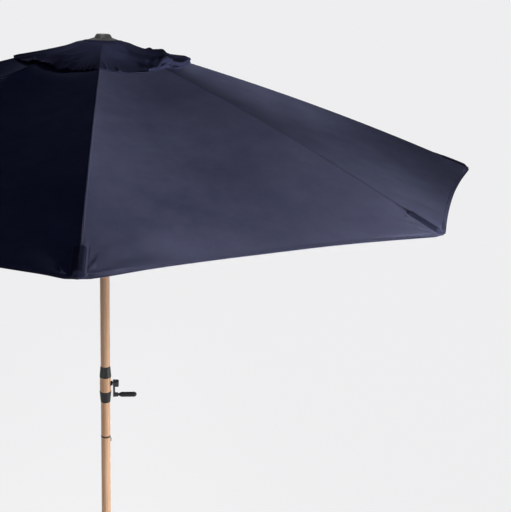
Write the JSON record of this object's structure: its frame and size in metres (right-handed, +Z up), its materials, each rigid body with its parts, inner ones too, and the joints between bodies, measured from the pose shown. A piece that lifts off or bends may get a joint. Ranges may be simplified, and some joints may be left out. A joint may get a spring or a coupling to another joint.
{
  "type": "patio umbrella with base",
  "caption": "Crank-lift market umbrella with an octagonal canopy and vented cap on a two-part pole, held in a round weighted base.",
  "frame": {"origin": "on the floor, in the middle of the base under the pole", "axes": "+Z up along the pole, +X towards the crank handle, ribs every 45 degrees from +X"},
  "size_m": [2.9, 2.9, 2.556],
  "materials": {
    "cloth": "matte",
    "wood_finish": "satin",
    "charcoal_metal": "satin",
    "charcoal_plastic": "matte",
    "frame_alloy": "satin",
    "steel": "satin",
    "inner_alloy": "satin",
    "nylon": "satin",
    "cord": "matte",
    "rubber_foot": "matte",
    "concrete": "matte"
  },
  "bodies": {
    "base": {"base_feet": "rubber_foot", "base_plate": "charcoal_metal", "base_cover": "charcoal_metal", "base_weight": "concrete", "sleeve_tube": "charcoal_metal", "sleeve_bolts": "steel", "sleeve_bush": "charcoal_plastic"},
    "clamp": {"clamp_knob": "charcoal_plastic"},
    "pole": {"pole_lower": "wood_finish", "pole_upper": "wood_finish", "pole_ferrule": "inner_alloy", "button_spring": "steel", "crank_housing": "wood_finish", "collar_upper": "charcoal_plastic", "collar_lower": "charcoal_plastic", "shaft_bushes": "charcoal_plastic", "brake_spring": "steel", "hub": "charcoal_plastic", "hub_pins": "steel", "lift_cord": "cord", "vent_cap": "cloth", "finial": "charcoal_plastic"},
    "button": {"lock_button": "steel"},
    "runner": {"runner": "charcoal_plastic"},
    "crank": {"crank_shaft": "steel", "crank_arm": "charcoal_plastic"},
    "grip": {"crank_grip": "charcoal_plastic"},
    "pulley": {"top_pulley": "nylon"},
    "rib_1": {"rib_1": "frame_alloy"},
    "rib_2": {"rib_2": "frame_alloy"},
    "rib_3": {"rib_3": "frame_alloy"},
    "rib_4": {"rib_4": "frame_alloy"},
    "rib_5": {"rib_5": "frame_alloy"},
    "rib_6": {"rib_6": "frame_alloy"},
    "rib_7": {"rib_7": "frame_alloy"},
    "rib_8": {"rib_8": "frame_alloy"},
    "strut_1": {"strut_1": "frame_alloy"},
    "strut_2": {"strut_2": "frame_alloy"},
    "strut_3": {"strut_3": "frame_alloy"},
    "strut_4": {"strut_4": "frame_alloy"},
    "strut_5": {"strut_5": "frame_alloy"},
    "strut_6": {"strut_6": "frame_alloy"},
    "strut_7": {"strut_7": "frame_alloy"},
    "strut_8": {"strut_8": "frame_alloy"},
    "panel_1a": {"panel_1a": "cloth"},
    "panel_1b": {"panel_1b": "cloth"},
    "panel_2a": {"panel_2a": "cloth"},
    "panel_2b": {"panel_2b": "cloth"},
    "panel_3a": {"panel_3a": "cloth"},
    "panel_3b": {"panel_3b": "cloth"},
    "panel_4a": {"panel_4a": "cloth"},
    "panel_4b": {"panel_4b": "cloth"},
    "panel_5a": {"panel_5a": "cloth"},
    "panel_5b": {"panel_5b": "cloth"},
    "panel_6a": {"panel_6a": "cloth"},
    "panel_6b": {"panel_6b": "cloth"},
    "panel_7a": {"panel_7a": "cloth"},
    "panel_7b": {"panel_7b": "cloth"},
    "panel_8a": {"panel_8a": "cloth"},
    "panel_8b": {"panel_8b": "cloth"}
  },
  "joints": [
    {"name": "clamp_turn", "type": "hinge", "parent": "base", "child": "clamp", "pos_m": [0.036, 0, 0.385], "axis": [1, 0, 0], "range_deg": [0, 720]},
    {"name": "pole_turn", "type": "hinge", "parent": "base", "child": "pole", "pos_m": [0, 0, 0.43], "axis": [0, 0, 1], "continuous": true},
    {"name": "button_press", "type": "slide", "parent": "pole", "child": "button", "axis": [-1, 0, 0], "range_m": [0, 0.006], "stiffness_N_per_m": 300, "springref_m": -0.004, "deforming": ["button_spring"]},
    {"name": "runner_slide", "type": "slide", "parent": "pole", "child": "runner", "axis": [0, 0, -1], "range_m": [0, 0.7653], "deforming": ["lift_cord"]},
    {"name": "crank_turn", "type": "hinge", "parent": "pole", "child": "crank", "pos_m": [0.029, 0, 1.156], "axis": [-1, 0, 0], "range_deg": [0, 3601]},
    {"name": "grip_spin", "type": "hinge", "parent": "crank", "child": "grip", "pos_m": [0.055, 0, 1.105], "axis": [1, 0, 0], "continuous": true},
    {"name": "pulley_spin", "type": "hinge", "parent": "pole", "child": "pulley", "pos_m": [0, 0.01125, 2.47], "axis": [-1, 0, 0], "range_deg": [0, 3900]},
    {"name": "rib_1_hinge", "type": "hinge", "parent": "pole", "child": "rib_1", "pos_m": [0.048, 0, 2.51711], "axis": [0, 1, 0], "range_deg": [0, 67.32]},
    {"name": "rib_2_hinge", "type": "hinge", "parent": "pole", "child": "rib_2", "pos_m": [0.03394, 0.03394, 2.51711], "axis": [-0.7071, 0.7071, 0], "range_deg": [0, 67.32]},
    {"name": "rib_3_hinge", "type": "hinge", "parent": "pole", "child": "rib_3", "pos_m": [0, 0.048, 2.51711], "axis": [-1, 0, 0], "range_deg": [0, 67.32]},
    {"name": "rib_4_hinge", "type": "hinge", "parent": "pole", "child": "rib_4", "pos_m": [-0.03394, 0.03394, 2.51711], "axis": [-0.7071, -0.7071, 0], "range_deg": [0, 67.32]},
    {"name": "rib_5_hinge", "type": "hinge", "parent": "pole", "child": "rib_5", "pos_m": [-0.048, 0, 2.51711], "axis": [0, -1, 0], "range_deg": [0, 67.32]},
    {"name": "rib_6_hinge", "type": "hinge", "parent": "pole", "child": "rib_6", "pos_m": [-0.03394, -0.03394, 2.51711], "axis": [0.7071, -0.7071, 0], "range_deg": [0, 67.32]},
    {"name": "rib_7_hinge", "type": "hinge", "parent": "pole", "child": "rib_7", "pos_m": [0, -0.048, 2.51711], "axis": [1, 0, 0], "range_deg": [0, 67.32]},
    {"name": "rib_8_hinge", "type": "hinge", "parent": "pole", "child": "rib_8", "pos_m": [0.03394, -0.03394, 2.51711], "axis": [0.7071, 0.7071, 0], "range_deg": [0, 67.32]},
    {"name": "strut_1_hinge", "type": "hinge", "parent": "rib_1", "child": "strut_1", "pos_m": [0.6196, 0, 2.33471], "axis": [0, -1, 0], "range_deg": [0, 125.9]},
    {"name": "strut_2_hinge", "type": "hinge", "parent": "rib_2", "child": "strut_2", "pos_m": [0.43812, 0.43812, 2.33471], "axis": [0.7071, -0.7071, 0], "range_deg": [0, 125.9]},
    {"name": "strut_3_hinge", "type": "hinge", "parent": "rib_3", "child": "strut_3", "pos_m": [0, 0.6196, 2.33471], "axis": [1, 0, 0], "range_deg": [0, 125.9]},
    {"name": "strut_4_hinge", "type": "hinge", "parent": "rib_4", "child": "strut_4", "pos_m": [-0.43812, 0.43812, 2.33471], "axis": [0.7071, 0.7071, 0], "range_deg": [0, 125.9]},
    {"name": "strut_5_hinge", "type": "hinge", "parent": "rib_5", "child": "strut_5", "pos_m": [-0.6196, 0, 2.33471], "axis": [0, 1, 0], "range_deg": [0, 125.9]},
    {"name": "strut_6_hinge", "type": "hinge", "parent": "rib_6", "child": "strut_6", "pos_m": [-0.43812, -0.43812, 2.33471], "axis": [-0.7071, 0.7071, 0], "range_deg": [0, 125.9]},
    {"name": "strut_7_hinge", "type": "hinge", "parent": "rib_7", "child": "strut_7", "pos_m": [0, -0.6196, 2.33471], "axis": [-1, 0, 0], "range_deg": [0, 125.9]},
    {"name": "strut_8_hinge", "type": "hinge", "parent": "rib_8", "child": "strut_8", "pos_m": [0.43812, -0.43812, 2.33471], "axis": [-0.7071, -0.7071, 0], "range_deg": [0, 125.9]},
    {"name": "panel_1a_fold", "type": "hinge", "parent": "rib_1", "child": "panel_1a", "pos_m": [1.45, 0, 2.08], "axis": [0.952, -0.0126, -0.3058], "range_deg": [0, 67.92], "deforming": ["panel_1a"]},
    {"name": "panel_1b_fold", "type": "hinge", "parent": "rib_2", "child": "panel_1b", "pos_m": [1.0253, 1.0253, 2.08], "axis": [-0.6643, -0.6821, 0.3058], "range_deg": [0, 67.92], "deforming": ["panel_1b"]},
    {"name": "panel_2a_fold", "type": "hinge", "parent": "rib_2", "child": "panel_2a", "pos_m": [1.0253, 1.0253, 2.08], "axis": [0.6821, 0.6643, -0.3058], "range_deg": [0, 67.92], "deforming": ["panel_2a"]},
    {"name": "panel_2b_fold", "type": "hinge", "parent": "rib_3", "child": "panel_2b", "pos_m": [0, 1.45, 2.08], "axis": [0.0126, -0.952, 0.3058], "range_deg": [0, 67.92], "deforming": ["panel_2b"]},
    {"name": "panel_3a_fold", "type": "hinge", "parent": "rib_3", "child": "panel_3a", "pos_m": [0, 1.45, 2.08], "axis": [0.0126, 0.952, -0.3058], "range_deg": [0, 67.92], "deforming": ["panel_3a"]},
    {"name": "panel_3b_fold", "type": "hinge", "parent": "rib_4", "child": "panel_3b", "pos_m": [-1.0253, 1.0253, 2.08], "axis": [0.6821, -0.6643, 0.3058], "range_deg": [0, 67.92], "deforming": ["panel_3b"]},
    {"name": "panel_4a_fold", "type": "hinge", "parent": "rib_4", "child": "panel_4a", "pos_m": [-1.0253, 1.0253, 2.08], "axis": [-0.6643, 0.6821, -0.3058], "range_deg": [0, 67.92], "deforming": ["panel_4a"]},
    {"name": "panel_4b_fold", "type": "hinge", "parent": "rib_5", "child": "panel_4b", "pos_m": [-1.45, 0, 2.08], "axis": [0.952, 0.0126, 0.3058], "range_deg": [0, 67.92], "deforming": ["panel_4b"]},
    {"name": "panel_5a_fold", "type": "hinge", "parent": "rib_5", "child": "panel_5a", "pos_m": [-1.45, 0, 2.08], "axis": [-0.952, 0.0126, -0.3058], "range_deg": [0, 67.92], "deforming": ["panel_5a"]},
    {"name": "panel_5b_fold", "type": "hinge", "parent": "rib_6", "child": "panel_5b", "pos_m": [-1.0253, -1.0253, 2.08], "axis": [0.6643, 0.6821, 0.3058], "range_deg": [0, 67.92], "deforming": ["panel_5b"]},
    {"name": "panel_6a_fold", "type": "hinge", "parent": "rib_6", "child": "panel_6a", "pos_m": [-1.0253, -1.0253, 2.08], "axis": [-0.6821, -0.6643, -0.3058], "range_deg": [0, 67.92], "deforming": ["panel_6a"]},
    {"name": "panel_6b_fold", "type": "hinge", "parent": "rib_7", "child": "panel_6b", "pos_m": [0, -1.45, 2.08], "axis": [-0.0126, 0.952, 0.3058], "range_deg": [0, 67.92], "deforming": ["panel_6b"]},
    {"name": "panel_7a_fold", "type": "hinge", "parent": "rib_7", "child": "panel_7a", "pos_m": [0, -1.45, 2.08], "axis": [-0.0126, -0.952, -0.3058], "range_deg": [0, 67.92], "deforming": ["panel_7a"]},
    {"name": "panel_7b_fold", "type": "hinge", "parent": "rib_8", "child": "panel_7b", "pos_m": [1.0253, -1.0253, 2.08], "axis": [-0.6821, 0.6643, 0.3058], "range_deg": [0, 67.92], "deforming": ["panel_7b"]},
    {"name": "panel_8a_fold", "type": "hinge", "parent": "rib_8", "child": "panel_8a", "pos_m": [1.0253, -1.0253, 2.08], "axis": [0.6643, -0.6821, -0.3058], "range_deg": [0, 67.92], "deforming": ["panel_8a"]},
    {"name": "panel_8b_fold", "type": "hinge", "parent": "rib_1", "child": "panel_8b", "pos_m": [1.45, 0, 2.08], "axis": [-0.952, -0.0126, 0.3058], "range_deg": [0, 67.92], "deforming": ["panel_8b"]}
  ],
  "couplings": [
    {"joint": "crank_turn", "follows": "runner_slide", "rad_per_m": 82.101},
    {"joint": "pulley_spin", "follows": "runner_slide", "rad_per_m": 88.889},
    {"joint": "rib_1_hinge", "follows": "runner_slide", "rad_per_m": 1.5349},
    {"joint": "rib_2_hinge", "follows": "runner_slide", "rad_per_m": 1.5349},
    {"joint": "rib_3_hinge", "follows": "runner_slide", "rad_per_m": 1.5349},
    {"joint": "rib_4_hinge", "follows": "runner_slide", "rad_per_m": 1.5349},
    {"joint": "rib_5_hinge", "follows": "runner_slide", "rad_per_m": 1.5349},
    {"joint": "rib_6_hinge", "follows": "runner_slide", "rad_per_m": 1.5349},
    {"joint": "rib_7_hinge", "follows": "runner_slide", "rad_per_m": 1.5349},
    {"joint": "rib_8_hinge", "follows": "runner_slide", "rad_per_m": 1.5349},
    {"joint": "strut_1_hinge", "follows": "runner_slide", "rad_per_m": 2.8709},
    {"joint": "strut_2_hinge", "follows": "runner_slide", "rad_per_m": 2.8709},
    {"joint": "strut_3_hinge", "follows": "runner_slide", "rad_per_m": 2.8709},
    {"joint": "strut_4_hinge", "follows": "runner_slide", "rad_per_m": 2.8709},
    {"joint": "strut_5_hinge", "follows": "runner_slide", "rad_per_m": 2.8709},
    {"joint": "strut_6_hinge", "follows": "runner_slide", "rad_per_m": 2.8709},
    {"joint": "strut_7_hinge", "follows": "runner_slide", "rad_per_m": 2.8709},
    {"joint": "strut_8_hinge", "follows": "runner_slide", "rad_per_m": 2.8709},
    {"joint": "panel_1a_fold", "follows": "runner_slide", "rad_per_m": 1.5486},
    {"joint": "panel_1b_fold", "follows": "runner_slide", "rad_per_m": 1.5486},
    {"joint": "panel_2a_fold", "follows": "runner_slide", "rad_per_m": 1.5486},
    {"joint": "panel_2b_fold", "follows": "runner_slide", "rad_per_m": 1.5486},
    {"joint": "panel_3a_fold", "follows": "runner_slide", "rad_per_m": 1.5486},
    {"joint": "panel_3b_fold", "follows": "runner_slide", "rad_per_m": 1.5486},
    {"joint": "panel_4a_fold", "follows": "runner_slide", "rad_per_m": 1.5486},
    {"joint": "panel_4b_fold", "follows": "runner_slide", "rad_per_m": 1.5486},
    {"joint": "panel_5a_fold", "follows": "runner_slide", "rad_per_m": 1.5486},
    {"joint": "panel_5b_fold", "follows": "runner_slide", "rad_per_m": 1.5486},
    {"joint": "panel_6a_fold", "follows": "runner_slide", "rad_per_m": 1.5486},
    {"joint": "panel_6b_fold", "follows": "runner_slide", "rad_per_m": 1.5486},
    {"joint": "panel_7a_fold", "follows": "runner_slide", "rad_per_m": 1.5486},
    {"joint": "panel_7b_fold", "follows": "runner_slide", "rad_per_m": 1.5486},
    {"joint": "panel_8a_fold", "follows": "runner_slide", "rad_per_m": 1.5486},
    {"joint": "panel_8b_fold", "follows": "runner_slide", "rad_per_m": 1.5486}
  ]
}
